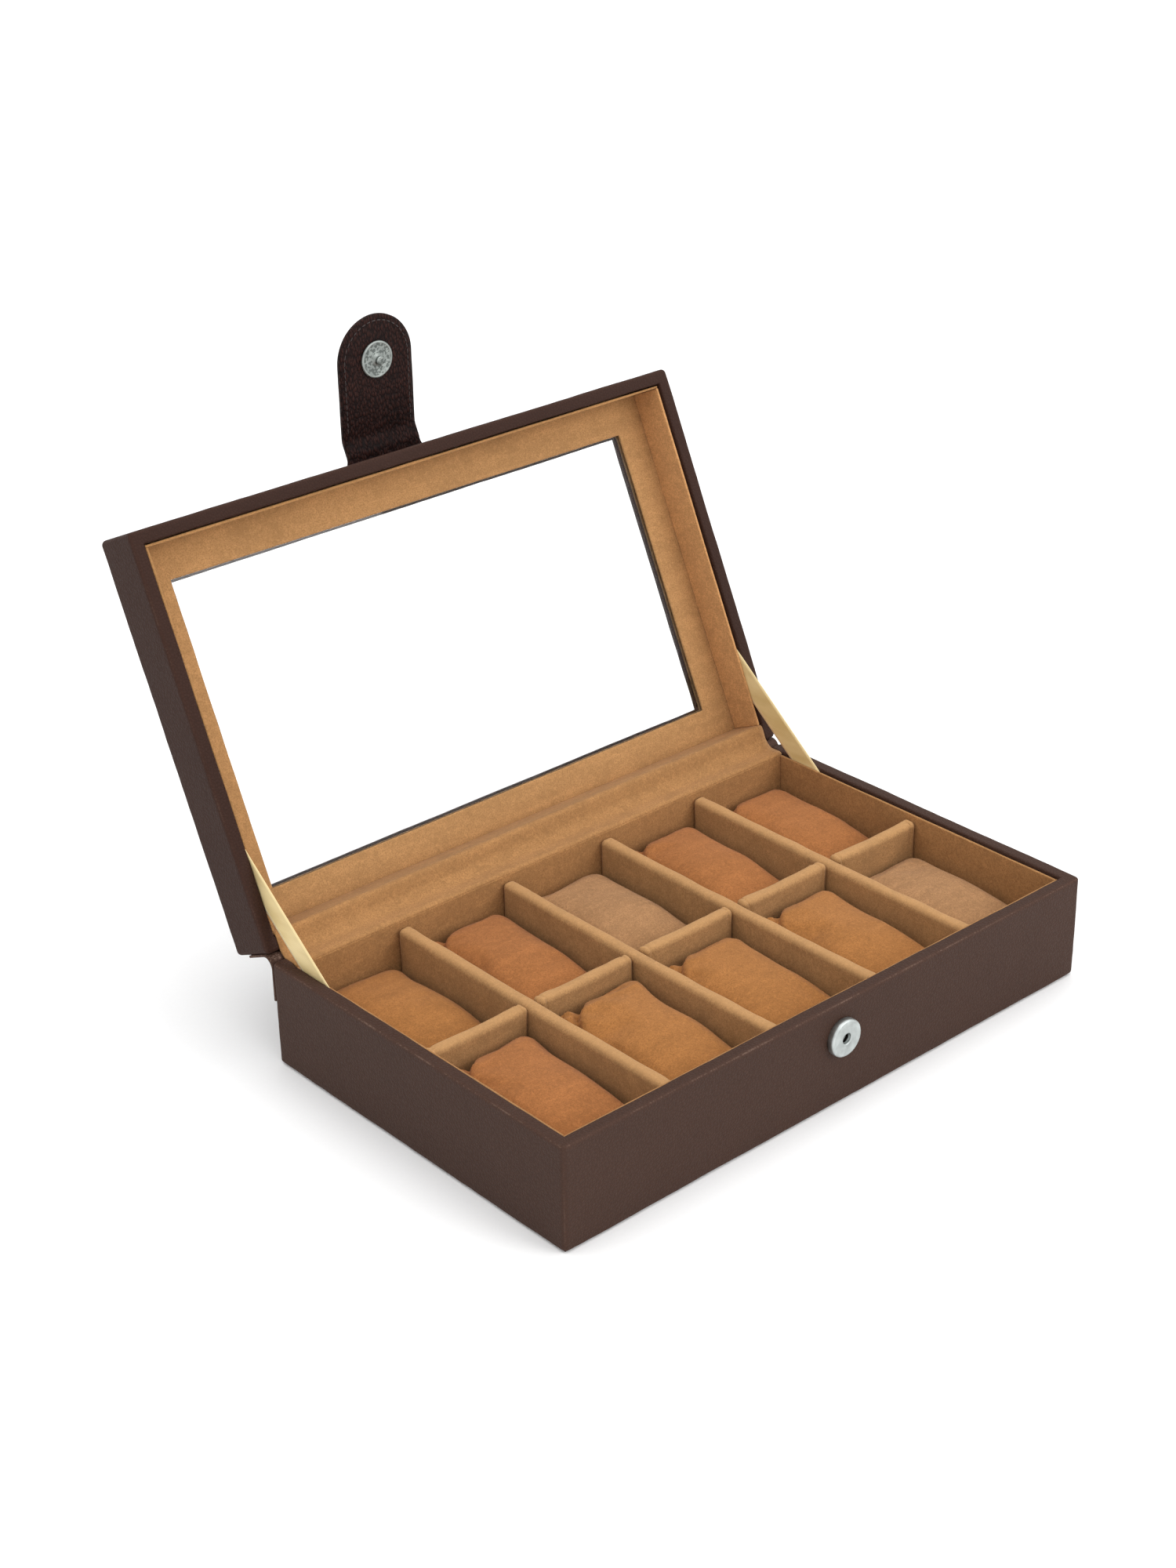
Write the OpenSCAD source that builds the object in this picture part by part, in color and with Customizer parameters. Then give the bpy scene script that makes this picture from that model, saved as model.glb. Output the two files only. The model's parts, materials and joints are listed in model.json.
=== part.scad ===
// Ten-slot watch box: a cloth-hinged case with a window lid, a snap flap,
// two stay ribbons and ten loose pillows. Modelled with the lid standing open.
// Origin: centre of the underside. +X along the length, +Y to the hinge, +Z up.

/* [Case] */
// Outside length of the box
box_l = 320; // [240:1:400]
// Outside depth of the box, front to hinge
box_w = 195; // [150:1:250]
// Height of the base, from the table to its rim
base_h = 52; // [42:0.5:80]
// Height of the lid, from its rim to its top
lid_h = 26.7; // [22:0.1:45]
// Gap between the two rims when the lid is shut
rim_gap = 0.6; // [0.4:0.1:1.5]
// Thickness of the side boards
board_t = 4.6; // [3:0.1:8]
// Thickness of the floor board
floor_t = 3; // [2:0.1:6]
// Thickness of the lid's top frame board
top_t = 4; // [3.6:0.1:7]
// Thickness of the leather covering
leather_t = 1; // [0.6:0.1:1.6]
// Radius of the upright leather corners
corner_r = 3; // [2:0.5:5]
// How far the leather is turned in below each rim
turn_in = 11; // [6:0.5:16]
// Width of the leather turned under the floor
turn_under = 12; // [8:0.5:20]
// Thickness of the felt under the box
felt_t = 1.6; // [1.4:0.1:3]

/* [Lining] */
// Thickness of a suede lining panel on its card
lining_t = 1.3; // [0.8:0.1:2.5]
// Thickness of the floor lining
floor_lining_t = 1.2; // [0.8:0.1:3]
// Air between a lining panel and the leather beside it
lining_gap = 0.5; // [0.5:0.1:1]
// How far a lining panel stops short of the rim
lining_drop = 1.5; // [1.4:0.1:3]
// Thickness of the mat frame round the window
mat_t = 1.3; // [0.8:0.1:2.5]

/* [Slots] */
// Number of slots along the box
columns = 5; // [2:1:5]
// Thickness of a padded divider
divider_t = 7; // [5:0.5:10]
// How far the dividers stop below the rim
divider_drop = 4; // [2:0.5:8]
// Thickness of a divider's core board
core_t = 3; // [2:0.5:4]
// Gap where a divider meets its neighbour
divider_gap = 0.2; // [0.1:0.05:0.5]

/* [Pillows] */
// Height of a pillow
pillow_h = 33; // [24:0.5:44]
// Gap between a pillow and the walls of its slot
pillow_gap = 1.2; // [0.8:0.1:3]
// How far a pillow lifts out
pillow_lift = 60; // [40:1:100]

/* [Window] */
// Leather-covered border at the front of the window
window_front = 26.5; // [22:0.5:45]
// Border at each side of the window
window_side = 26; // [20:0.5:45]
// Border at the hinge side of the window
window_back = 25; // [20:0.5:45]
// Thickness of the glass
glass_t = 1.8; // [1.5:0.1:2]
// How far the glass runs under the frame board on each side
glass_lap = 4; // [2:0.5:6]
// Gap round the glass
glass_gap = 0.1; // [0.05:0.05:0.3]

/* [Hinge] */
// Angle that the lid stands open
open_angle = 115; // [95:1:125]
// Distance of the hinge line behind the back face
hinge_back = 2.2; // [2:0.1:3]
// Thickness of the leather hinge spine
spine_t = 1; // [0.6:0.1:1.4]
// Height of the spine glued to the base
spine_base = 18; // [10:1:30]
// Height of the spine glued to the lid
spine_lid = 15; // [10:1:18]
// Distance from each rim to the glued part of the spine
spine_free = 2; // [1.5:0.1:3]
// Thickness of the suede hinge strip inside
strip_t = 1; // [0.6:0.1:1.2]
// Depth that both back rims are let down for the strip
strip_seat = 1.2; // [1.2:0.1:2]
// Thickness of the glue line under the hinge's lid half and the flap's seam
glue_t = 0.05; // [0.02:0.01:0.1]

/* [Stay ribbons] */
// Width of a ribbon
ribbon_w = 12.5; // [8:0.5:16]
// Thickness of a ribbon
ribbon_t = 0.3; // [0.2:0.05:0.4]
// Distance from the hinge line to the ribbon's way out of the base, along the depth
ribbon_base_y = 26.7; // [22:0.1:60]
// Distance from the rim down to that point
ribbon_base_drop = 2; // [1:0.5:6]
// Distance from the hinge line to the ribbon's way into the lid, along the lid
ribbon_lid_y = 39.7; // [34:0.1:80]
// Distance of that point above the lid's rim
ribbon_lid_rise = 3.4; // [1:0.1:8]
// Length of ribbon tucked behind each lining panel
ribbon_tuck = 12; // [8:0.5:14]

/* [Clasp] */
// Width of the flap
flap_w = 42; // [30:1:60]
// Height of the middle of the snap above the table
snap_height = 35; // [28:0.5:38]
// Distance from the flap's fold to the middle of the snap
snap_reach = 36.4; // [28:0.1:40]
// Distance of the fold in front of the lid, as the flap stands
fold_out = 11; // [9:0.5:14]
// Length of soft leather past the fold, before the stiffener
fold_soft = 1; // [0.5:0.5:3]
// Length of the flap stitched on the lid top
root_l = 20; // [12:1:22]
// Thickness of each of the flap's two leathers
flap_leather_t = 0.9; // [0.6:0.1:1.2]
// Thickness of the stiffener between them
stiffener_t = 0.6; // [0.6:0.1:1]
// Angle between the flap and the lid's top, as it stands
flap_droop = 25; // [0:1:60]
// Diameter of both halves of the snap
snap_d = 18; // [14:0.5:20]
// Height of the socket half
socket_t = 3.5; // [3:0.1:5]
// Height of the stud half
stud_t = 1.2; // [1:0.1:2]
// Diameter of the stud's post
post_d = 4.4; // [3:0.1:5]
// Length of the post
post_l = 2.6; // [2:0.1:2.8]
// Gap round the post in the socket
post_gap = 0.3; // [0.2:0.05:0.5]
// Gap between the closed halves
snap_gap = 0.3; // [0.2:0.05:0.5]

/* [Hidden] */
EPS = 0.01;
half_l = box_l / 2;
half_w = box_w / 2;
edge_r = min(corner_r, 3 * leather_t);
rim_w = board_t + 2 * leather_t;

// Boards, leather, lining: distances in from the outside faces
board_in = leather_t + board_t;
lining_out = rim_w + lining_gap;
lining_in = lining_out + lining_t;
inner_x = half_l - lining_in;
inner_y = half_w - lining_in;

// Heights in the base
felt_lift = 0.6;
floor_z = felt_t + floor_t;
slot_z = floor_z + floor_lining_t;
board_top = base_h - leather_t;
divider_h = base_h - divider_drop - slot_z;

// Heights in the shut lid
lid_rim = base_h + rim_gap;
lid_top = lid_rim + lid_h;
frame_top = lid_top - leather_t;
frame_z = frame_top - top_t;
glass_z = frame_z + glass_gap;
mat_z = frame_z - glass_gap - mat_t;

// Slots
slot_l = (2 * inner_x - (columns - 1) * divider_t) / columns;
slot_w = (2 * inner_y - divider_t) / 2;
pitch = slot_l + divider_t;
core_clear = 0.1;

// Pillows
pillow_l = slot_l - 2 * pillow_gap;
pillow_w = slot_w - 2 * pillow_gap;
pillow_z = slot_z + 0.3;
pillow_power = 5;
pillow_steps = 48;

// Window opening in the finished lid
win_x = half_l - window_side;
win_y0 = -half_w + window_front;
win_y1 = half_w - window_back;

// Hinge line
hinge_y = half_w + hinge_back;
hinge_z = base_h + rim_gap + 0.1;

// Flap: its middle plane when it hangs shut, and its fold hanging and standing
flap_t = 2 * flap_leather_t + stiffener_t;
root_t = flap_t / 2;
hang_y = -half_w - socket_t - snap_gap - stud_t - flap_t / 2;
hang_z = snap_height + snap_reach;
stand_y = -half_w - fold_out;
stand_z = lid_top + root_t - flap_t / 2;

// The flap turns about the one point that takes the fold from place to place
flap_turn = 90 - flap_droop;
fold_k = 1 / (2 * tan(flap_turn / 2));
bend_y = (hang_y + stand_y) / 2 + (stand_z - hang_z) * fold_k;
bend_z = (hang_z + stand_z) / 2 + (hang_y - stand_y) * fold_k;
shell_t = 0.5;
socket_plate_t = 0.5;
washer_d = 9;
washer_t = 0.5;
stud_washer_d = 14;
prong_w = 3;
prong_t = 0.5;
prong_x = 3;
prong_clear = 0.1;

DIVIDERS = [for (i = [1:columns - 1]) i];

// ---- shared shapes and placements ----

// Block between two corners
module span(a, b) {
    translate(a) cube([b[0] - a[0], b[1] - a[1], b[2] - a[2]]);
}

// Upright block with rounded vertical corners, centred on Z
module rounded_block(x, y, z0, z1, r) {
    span([-x, -y + r, z0], [x, y - r, z1]);
    span([-x + r, -y, z0], [x - r, y, z1]);
    for (sx = [-1, 1], sy = [-1, 1])
        translate([sx * (x - r), sy * (y - r), z0])
            cylinder(r = r, h = z1 - z0, $fn = 48);
}

// Turns a piece drawn on the shut lid to where the open lid stands
module on_open_lid() {
    translate([0, hinge_y, hinge_z]) rotate([-open_angle, 0, 0])
        translate([0, -hinge_y, -hinge_z]) children();
}

// Puts a piece drawn about the hanging flap's fold onto the standing flap
module on_flap() {
    on_open_lid() translate([0, bend_y, bend_z]) rotate([-flap_turn, 0, 0])
        translate([0, hang_y - bend_y, hang_z - bend_z]) children();
}

// A profile in Y and Z, drawn out along X
module along_x(x0, x1, points) {
    translate([x0, 0, 0]) rotate([90, 0, 90])
        linear_extrude(x1 - x0) polygon(points);
}

// Point of the shut lid after the lid has been opened
function opened(y, z) = let (dy = y - hinge_y, dz = z - hinge_z,
    c = cos(open_angle), s = sin(open_angle))
    [hinge_y + dy * c + dz * s, hinge_z - dy * s + dz * c];

// Point of the standing flap, past its fold and above its middle plane
function on_tongue(past, above) = let (c = cos(flap_droop), s = sin(flap_droop))
    opened(stand_y - past * c - above * s, stand_z - past * s + above * c);

// ---- base ----

module floor_board() {
    color("peru")
        span([-half_l + board_in, -half_w + board_in, felt_t],
             [half_l - board_in, half_w - board_in, floor_z]);
}

module front_board() {
    color("peru") difference() {
        span([-half_l + leather_t, -half_w + leather_t, felt_t],
             [half_l - leather_t, -half_w + board_in, board_top]);
        prong_slots();
    }
}

module back_board() {
    color("peru")
        span([-half_l + leather_t, half_w - board_in, felt_t],
             [half_l - leather_t, half_w - leather_t, board_top - strip_seat]);
}

module side_board(side) {
    color("peru") translate([side * (half_l - leather_t - board_t / 2), 0, 0])
        span([-board_t / 2, -half_w + board_in, felt_t],
             [board_t / 2, half_w - board_in, board_top]);
}

// Leather over the four sides, the rim and the edge of the floor
module base_leather() {
    color("#4a3833") difference() {
        union() {
            difference() {
                rounded_block(half_l, half_w, felt_lift, base_h, edge_r);
                span([-half_l + leather_t, -half_w + leather_t, felt_t],
                     [half_l - leather_t, half_w - board_in, board_top]);
                span([-half_l + leather_t, half_w - board_in - EPS, felt_t],
                     [half_l - leather_t, half_w - leather_t,
                      board_top - strip_seat]);
                span([-half_l + rim_w, -half_w + rim_w, board_top - EPS],
                     [half_l - rim_w, half_w - rim_w, base_h + EPS]);
                span([-half_l + turn_under, -half_w + turn_under, 0],
                     [half_l - turn_under, half_w - turn_under, felt_t + EPS]);
            }
            rim_turn_in(board_top - turn_in, board_top);
        }
        hinge_seat(base_h - strip_seat, base_h + EPS);
        prong_slots();
        at_socket() translate([0, 0, -rim_w - lining_gap])
            cylinder(d = washer_d + 2 * lining_gap, h = leather_t + lining_gap,
                $fn = 48);
    }
}

// Leather glued down the inner faces of the boards
module rim_turn_in(z0, z1) {
    difference() {
        span([-half_l + board_in, -half_w + board_in, z0],
             [half_l - board_in, half_w - board_in, z1]);
        span([-half_l + rim_w, -half_w + rim_w, z0 - EPS],
             [half_l - rim_w, half_w - rim_w, z1 + EPS]);
    }
}

// Space let into a back rim for the suede strip
module hinge_seat(z0, z1) {
    span([-half_l + lining_out, half_w - lining_in, z0],
         [half_l - lining_out, half_w + EPS, z1]);
}

module underside_felt() {
    color("#3a3230")
        span([-half_l + turn_under + lining_gap, -half_w + turn_under + lining_gap, 0],
             [half_l - turn_under - lining_gap, half_w - turn_under - lining_gap, felt_t]);
}

module floor_lining() {
    color("#b2844f")
        span([-half_l + lining_out, -half_w + lining_out, floor_z],
             [half_l - lining_out, half_w - lining_out, slot_z]);
}

// Lining panel along the front (side -1) or the back (side 1)
module long_lining(side, z0, z1) {
    color("#b2844f") translate([0, side * (half_w - lining_out - lining_t / 2), 0])
        span([-half_l + lining_out, -lining_t / 2, z0],
             [half_l - lining_out, lining_t / 2, z1]);
}

// Lining panel along the left (side -1) or the right (side 1)
module end_lining(side, z0, z1) {
    color("#b2844f") translate([side * (half_l - lining_out - lining_t / 2), 0, 0])
        span([-lining_t / 2, -half_w + lining_in, z0],
             [lining_t / 2, half_w - lining_in, z1]);
}

// ---- dividers ----

// Padded divider with a round top, along Y, from -length/2 to length/2
module divider(length, core_length) {
    difference() {
        translate([0, length / 2, slot_z]) rotate([90, 0, 0])
            linear_extrude(length) {
                translate([-divider_t / 2, 0])
                    square([divider_t, divider_h - divider_t / 2]);
                translate([0, divider_h - divider_t / 2])
                    circle(d = divider_t, $fn = 48);
            }
        divider_core(core_length + 2 * core_clear, core_t + 2 * core_clear,
            core_clear);
    }
}

// Core board inside a divider
module divider_core(length, thick, clear) {
    span([-thick / 2, -length / 2, slot_z + 1 - clear],
         [thick / 2, length / 2, slot_z + divider_h - divider_t / 2 + clear]);
}

cross_l = 2 * (inner_y - divider_gap);
row_l = slot_l - 2 * divider_gap;
core_end = 2;

function cross_x(i) = -inner_x + i * pitch - divider_t / 2;
function slot_x(i) = -inner_x + (i - 1) * pitch + slot_l / 2;

module cross_divider(i) {
    color("#c09560") translate([cross_x(i), 0, 0])
        divider(cross_l, cross_l - 2 * core_end);
}

module row_divider(i) {
    color("#c09560") translate([slot_x(i), 0, 0]) rotate([0, 0, 90])
        divider(row_l, row_l - 2 * core_end);
}

module cross_divider_cores() {
    color("tan") for (i = DIVIDERS) translate([cross_x(i), 0, 0])
        divider_core(cross_l - 2 * core_end, core_t, 0);
}

module row_divider_cores() {
    color("tan") for (i = [1:columns]) translate([slot_x(i), 0, 0])
        rotate([0, 0, 90]) divider_core(row_l - 2 * core_end, core_t, 0);
}

// ---- pillows ----

// Superellipse outline, with its middle at the origin
function soft_outline(a, b) = [for (k = [0:pillow_steps - 1])
    let (t = 360 * k / pillow_steps, c = cos(t), s = sin(t))
    [a * sign(c) * pow(abs(c), 2 / pillow_power),
     b * sign(s) * pow(abs(s), 2 / pillow_power)]];

// Stuffed pillow: soft outlines seen from above, the front and the side
module pillow(i, row) {
    a = pillow_l / 2;
    b = pillow_w / 2;
    c = pillow_h / 2;
    color("#b8834c")
        translate([slot_x(i), row * (slot_w + divider_t) / 2, pillow_z + c])
        intersection() {
            translate([0, 0, -c]) linear_extrude(pillow_h)
                polygon(soft_outline(a, b));
            translate([0, b, 0]) rotate([90, 0, 0]) linear_extrude(pillow_w)
                polygon(soft_outline(a, c));
            translate([-a, 0, 0]) rotate([90, 0, 90]) linear_extrude(pillow_l)
                polygon(soft_outline(b, c));
        }
}

// ---- snap socket on the front of the base ----

// Draws along -Y from the front face, on the snap's centre line
module at_socket() {
    translate([0, -half_w, snap_height]) rotate([90, 0, 0]) children();
}

// Slots for the two prongs through the leather and the front board
module prong_slots() {
    at_socket() for (s = [-1, 1]) translate([s * prong_x, 0, -board_in / 2])
        cube([prong_t + 2 * prong_clear, prong_w + 2 * prong_clear,
              board_in + 4], center = true);
}

// Pressed cap, its base plate and prongs
module snap_socket() {
    color("silver") at_socket() {
        difference() {
            cylinder(d = snap_d, h = socket_t, $fn = 96);
            translate([0, 0, socket_plate_t]) magnet_space(0);
            translate([0, 0, socket_plate_t])
                cylinder(d = post_d + 2 * post_gap, h = socket_t, $fn = 64);
        }
        for (s = [-1, 1]) translate([s * prong_x, 0, -board_in / 2 - washer_t / 2])
            cube([prong_t, prong_w, board_in + washer_t], center = true);
    }
}

// Ring inside the cap
module magnet_space(clear) {
    h = socket_t - socket_plate_t - shell_t;
    translate([0, 0, clear]) difference() {
        cylinder(d = snap_d - 2 * shell_t - 2 * clear, h = h - 2 * clear, $fn = 96);
        translate([0, 0, -EPS])
            cylinder(d = post_d + 2 * post_gap + 2 * shell_t + 2 * clear,
                h = h + 2 * EPS, $fn = 64);
    }
}

module socket_magnet() {
    color("dimgray") at_socket() translate([0, 0, socket_plate_t])
        magnet_space(core_clear / 2);
}

// Washer behind the front board, which the prongs pass through
module socket_washer() {
    color("gray") at_socket() translate([0, 0, -board_in - washer_t])
        difference() {
            cylinder(d = washer_d, h = washer_t, $fn = 48);
            for (s = [-1, 1]) translate([s * prong_x, 0, washer_t / 2])
                cube([prong_t + 2 * prong_clear, prong_w + 2 * prong_clear,
                      washer_t + 1], center = true);
        }
}

// ---- lid, drawn shut and then opened ----

module lid_front_board() {
    color("peru") on_open_lid()
        span([-half_l + leather_t, -half_w + leather_t, lid_rim + leather_t],
             [half_l - leather_t, -half_w + board_in, frame_z]);
}

module lid_back_board() {
    color("peru") on_open_lid()
        span([-half_l + leather_t, half_w - board_in,
              lid_rim + leather_t + strip_seat],
             [half_l - leather_t, half_w - leather_t, frame_z]);
}

module lid_side_board(side) {
    color("peru") on_open_lid()
        translate([side * (half_l - leather_t - board_t / 2), 0, 0])
            span([-board_t / 2, -half_w + board_in, lid_rim + leather_t],
                 [board_t / 2, half_w - board_in, frame_z]);
}

// Window opening grown by a margin on every side
module window_space(grow, z0, z1) {
    span([-win_x - grow, win_y0 - grow, z0], [win_x + grow, win_y1 + grow, z1]);
}

// Frame board with the window cut out and a rebate for the glass
module lid_top_board() {
    color("peru") on_open_lid() difference() {
        span([-half_l + leather_t, -half_w + leather_t, frame_z],
             [half_l - leather_t, half_w - leather_t, frame_top]);
        window_space(leather_t, frame_z - EPS, frame_top + EPS);
        window_space(glass_lap + glass_gap, frame_z - EPS,
            glass_z + glass_t + glass_gap);
    }
}

// Leather over the lid's sides, rim, top and the edge of the window
module lid_leather() {
    glass_top = glass_z + glass_t + glass_gap;
    color("#4a3833") on_open_lid() difference() {
        union() {
            difference() {
                rounded_block(half_l, half_w, lid_rim, lid_top, edge_r);
                span([-half_l + leather_t, -half_w + leather_t,
                      lid_rim + leather_t],
                     [half_l - leather_t, half_w - board_in, frame_top]);
                span([-half_l + leather_t, half_w - board_in - EPS,
                      lid_rim + leather_t + strip_seat],
                     [half_l - leather_t, half_w - leather_t, frame_top]);
                span([-half_l + rim_w, -half_w + rim_w, lid_rim - EPS],
                     [half_l - rim_w, half_w - rim_w, lid_rim + leather_t + EPS]);
            }
            rim_turn_in(lid_rim + leather_t, lid_rim + leather_t + turn_in);
            window_space(leather_t, glass_top, frame_top);
        }
        hinge_seat(lid_rim - EPS, lid_rim + strip_seat);
        window_space(0, glass_top - EPS, lid_top + EPS);
    }
}

module window_glass() {
    color("lightcyan", 0.35) on_open_lid()
        window_space(glass_lap, glass_z, glass_z + glass_t);
}

module mat_frame() {
    color("#b2844f") on_open_lid() difference() {
        span([-half_l + lining_out, -half_w + lining_out, mat_z],
             [half_l - lining_out, half_w - lining_out, mat_z + mat_t]);
        window_space(0, mat_z - EPS, mat_z + mat_t + EPS);
    }
}

module lid_long_lining(side) {
    on_open_lid() long_lining(side, lid_rim + lining_drop, mat_z);
}

module lid_end_lining(side) {
    on_open_lid() end_lining(side, lid_rim + lining_drop, mat_z);
}

// ---- cloth hinge ----

spine_x = half_l - lining_out;

// Leather strip outside, from the base's back face to the lid's
module hinge_spine() {
    base_z = base_h - spine_free;
    lid_z = lid_rim + spine_free;
    lid_y = half_w + glue_t;
    color("#403029") along_x(-spine_x, spine_x, [
        [half_w, base_z - spine_base], [half_w + spine_t, base_z - spine_base],
        [half_w + spine_t, base_z], opened(lid_y + spine_t, lid_z),
        opened(lid_y + spine_t, lid_z + spine_lid),
        opened(lid_y, lid_z + spine_lid), opened(lid_y, lid_z),
        [half_w, base_z]]);
}

// Suede strip inside, from the base's back rim to the lid's
module hinge_lining() {
    base_z = base_h - strip_seat;
    lid_z = lid_rim + strip_seat - glue_t;
    y0 = half_w - lining_in;
    x = half_l - lining_out - divider_gap;
    color("#bd925e") along_x(-x, x, [
        [y0, base_z], [half_w, base_z], opened(half_w, lid_z), opened(y0, lid_z),
        opened(y0, lid_z - strip_t), opened(half_w, lid_z - strip_t),
        [half_w, base_z + strip_t], [y0, base_z + strip_t]]);
}

// ---- stay ribbons ----

// Straight taut ribbon in the gap beside the lining panels
module stay_ribbon(side) {
    a = [hinge_y - ribbon_base_y, base_h - ribbon_base_drop];
    b = opened(hinge_y - ribbon_lid_y, lid_rim + ribbon_lid_rise);
    d = (b - a) / norm(b - a);
    n = [-d[1], d[0]] * ribbon_w / 2;
    p = a - d * ribbon_tuck;
    q = b + d * ribbon_tuck;
    x = side * (half_l - rim_w - lining_gap / 2);
    color("#e3cd96") along_x(x - ribbon_t / 2, x + ribbon_t / 2,
        [p - n, q - n, q + n, p + n]);
}

// ---- clasp flap ----

// Round-ended tongue, drawn hanging from its fold, between two depths
module tongue(y0, y1) {
    translate([0, y1, 0]) rotate([90, 0, 0]) linear_extrude(y1 - y0) {
        translate([-flap_w / 2, -snap_reach])
            square([flap_w, snap_reach - fold_soft]);
        translate([0, -snap_reach]) circle(d = flap_w, $fn = 96);
    }
}

// Draws along +Y from the middle of the hanging flap's snap
module at_stud(y) {
    translate([0, y, -snap_reach]) rotate([-90, 0, 0]) children();
}

// Strap glued and stitched on the lid top
module flap_root() {
    color("#33261f") on_open_lid()
        span([-flap_w / 2, -half_w, lid_top],
             [flap_w / 2, -half_w + root_l, lid_top + root_t]);
}

// Soft leather between the lid's edge and the stiff tongue, with the fold in it
module flap_bend() {
    seam = fold_soft - glue_t;
    color("#33261f") along_x(-flap_w / 2, flap_w / 2, [
        opened(-half_w, lid_top), opened(stand_y, stand_z - flap_t / 2),
        on_tongue(seam, -flap_t / 2), on_tongue(seam, flap_t / 2),
        opened(stand_y, stand_z + flap_t / 2),
        opened(-half_w, lid_top + root_t)]);
}

module flap_face() {
    color("#33261f") on_flap()
        tongue(-flap_t / 2, -flap_t / 2 + flap_leather_t);
}

module flap_stiffener() {
    color("burlywood") on_flap() difference() {
        tongue(-stiffener_t / 2, stiffener_t / 2);
        at_stud(-stiffener_t / 2 - EPS)
            cylinder(d = stud_washer_d + 4 * prong_clear, h = stiffener_t + 2 * EPS,
                $fn = 64);
    }
}

module flap_inner() {
    color("#33261f") on_flap() difference() {
        tongue(stiffener_t / 2, flap_t / 2);
        stud_prongs(prong_clear, 1);
    }
}

// The stud's two prongs, or the slots for them
module stud_prongs(clear, extra) {
    y0 = stiffener_t / 2 - washer_t - extra;
    at_stud(y0) for (s = [-1, 1])
        translate([s * prong_x, 0, (flap_t / 2 - y0 + extra) / 2])
            cube([prong_t + 2 * clear, prong_w + 2 * clear,
                  flap_t / 2 - y0 + extra], center = true);
}

module snap_stud() {
    color("silver") on_flap() {
        at_stud(flap_t / 2) {
            cylinder(d = snap_d, h = stud_t, $fn = 96);
            translate([0, 0, stud_t - EPS])
                cylinder(d = post_d, h = post_l + EPS, $fn = 64);
        }
        stud_prongs(0, 0);
    }
}

module stud_washer() {
    color("gray") on_flap() difference() {
        at_stud(stiffener_t / 2 - washer_t)
            cylinder(d = stud_washer_d, h = washer_t, $fn = 64);
        stud_prongs(prong_clear, 1);
    }
}

// ---- nodes ----

floor_board();
front_board();
back_board();
side_board(-1);  // left_board
side_board(1);  // right_board
base_leather();
underside_felt();
floor_lining();
long_lining(-1, slot_z, base_h - lining_drop);  // front_lining
long_lining(1, slot_z, base_h - lining_drop);  // back_lining
end_lining(-1, slot_z, base_h - lining_drop);  // left_lining
end_lining(1, slot_z, base_h - lining_drop);  // right_lining
for (i = DIVIDERS)
    cross_divider(i);
for (i = [1:columns])
    row_divider(i);
cross_divider_cores();
row_divider_cores();
snap_socket();
socket_magnet();
socket_washer();
lid_front_board();
lid_back_board();
lid_side_board(-1);  // lid_left_board
lid_side_board(1);  // lid_right_board
lid_top_board();
lid_leather();
window_glass();
mat_frame();
lid_long_lining(-1);  // lid_front_lining
lid_long_lining(1);  // lid_back_lining
lid_end_lining(-1);  // lid_left_lining
lid_end_lining(1);  // lid_right_lining
hinge_spine();
hinge_lining();
stay_ribbon(-1);  // stay_ribbon_left
stay_ribbon(1);  // stay_ribbon_right
flap_root();
flap_bend();
flap_face();
flap_stiffener();
flap_inner();
snap_stud();
stud_washer();
for (i = [1:columns])
    pillow(i, -1);
for (i = [1:columns])
    pillow(i, 1);
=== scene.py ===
import json
import math

import bmesh
import bpy
from mathutils import Matrix, Vector, noise


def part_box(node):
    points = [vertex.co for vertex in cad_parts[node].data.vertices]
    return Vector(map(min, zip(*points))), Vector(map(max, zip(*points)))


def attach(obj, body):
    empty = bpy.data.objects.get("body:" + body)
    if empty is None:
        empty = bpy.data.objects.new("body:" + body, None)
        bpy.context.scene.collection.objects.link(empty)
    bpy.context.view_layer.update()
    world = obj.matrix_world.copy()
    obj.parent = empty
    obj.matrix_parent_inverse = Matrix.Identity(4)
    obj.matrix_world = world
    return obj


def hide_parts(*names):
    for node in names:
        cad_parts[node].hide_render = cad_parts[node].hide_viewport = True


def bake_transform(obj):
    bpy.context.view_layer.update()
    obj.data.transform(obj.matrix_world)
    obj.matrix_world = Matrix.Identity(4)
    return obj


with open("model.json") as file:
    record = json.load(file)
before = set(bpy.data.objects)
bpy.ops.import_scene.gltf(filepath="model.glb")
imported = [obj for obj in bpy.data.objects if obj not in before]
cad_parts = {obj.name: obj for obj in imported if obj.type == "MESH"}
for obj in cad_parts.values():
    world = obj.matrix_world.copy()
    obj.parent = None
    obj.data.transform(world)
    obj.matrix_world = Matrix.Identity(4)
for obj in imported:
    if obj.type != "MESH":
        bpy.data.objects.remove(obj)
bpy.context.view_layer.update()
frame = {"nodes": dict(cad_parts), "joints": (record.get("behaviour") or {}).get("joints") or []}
mm = 0.001

# ---- The studio --------------------------------------------------------------
# A white sweep in a white room, lit by two softboxes and a broad ceiling light,
# with the camera above the box's near left corner.
camera = bpy.data.objects.new("camera", bpy.data.cameras.new("camera"))
camera.data.lens = 62.25
camera.data.sensor_width = 36
camera.location = (-0.7363, -0.7708, 0.6681)
camera.rotation_euler = [math.radians(a) for a in (62.841, 0.864, -41.808)]
bpy.context.scene.collection.objects.link(camera)
bpy.context.scene.camera = camera
bpy.context.scene.view_settings.view_transform = "Standard"

world = bpy.data.worlds.new("white_room")
world.use_nodes = True
world.node_tree.nodes["Background"].inputs["Color"].default_value = (1, 1, 1, 1)
world.node_tree.nodes["Background"].inputs["Strength"].default_value = 0.8
bpy.context.scene.world = world


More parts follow.
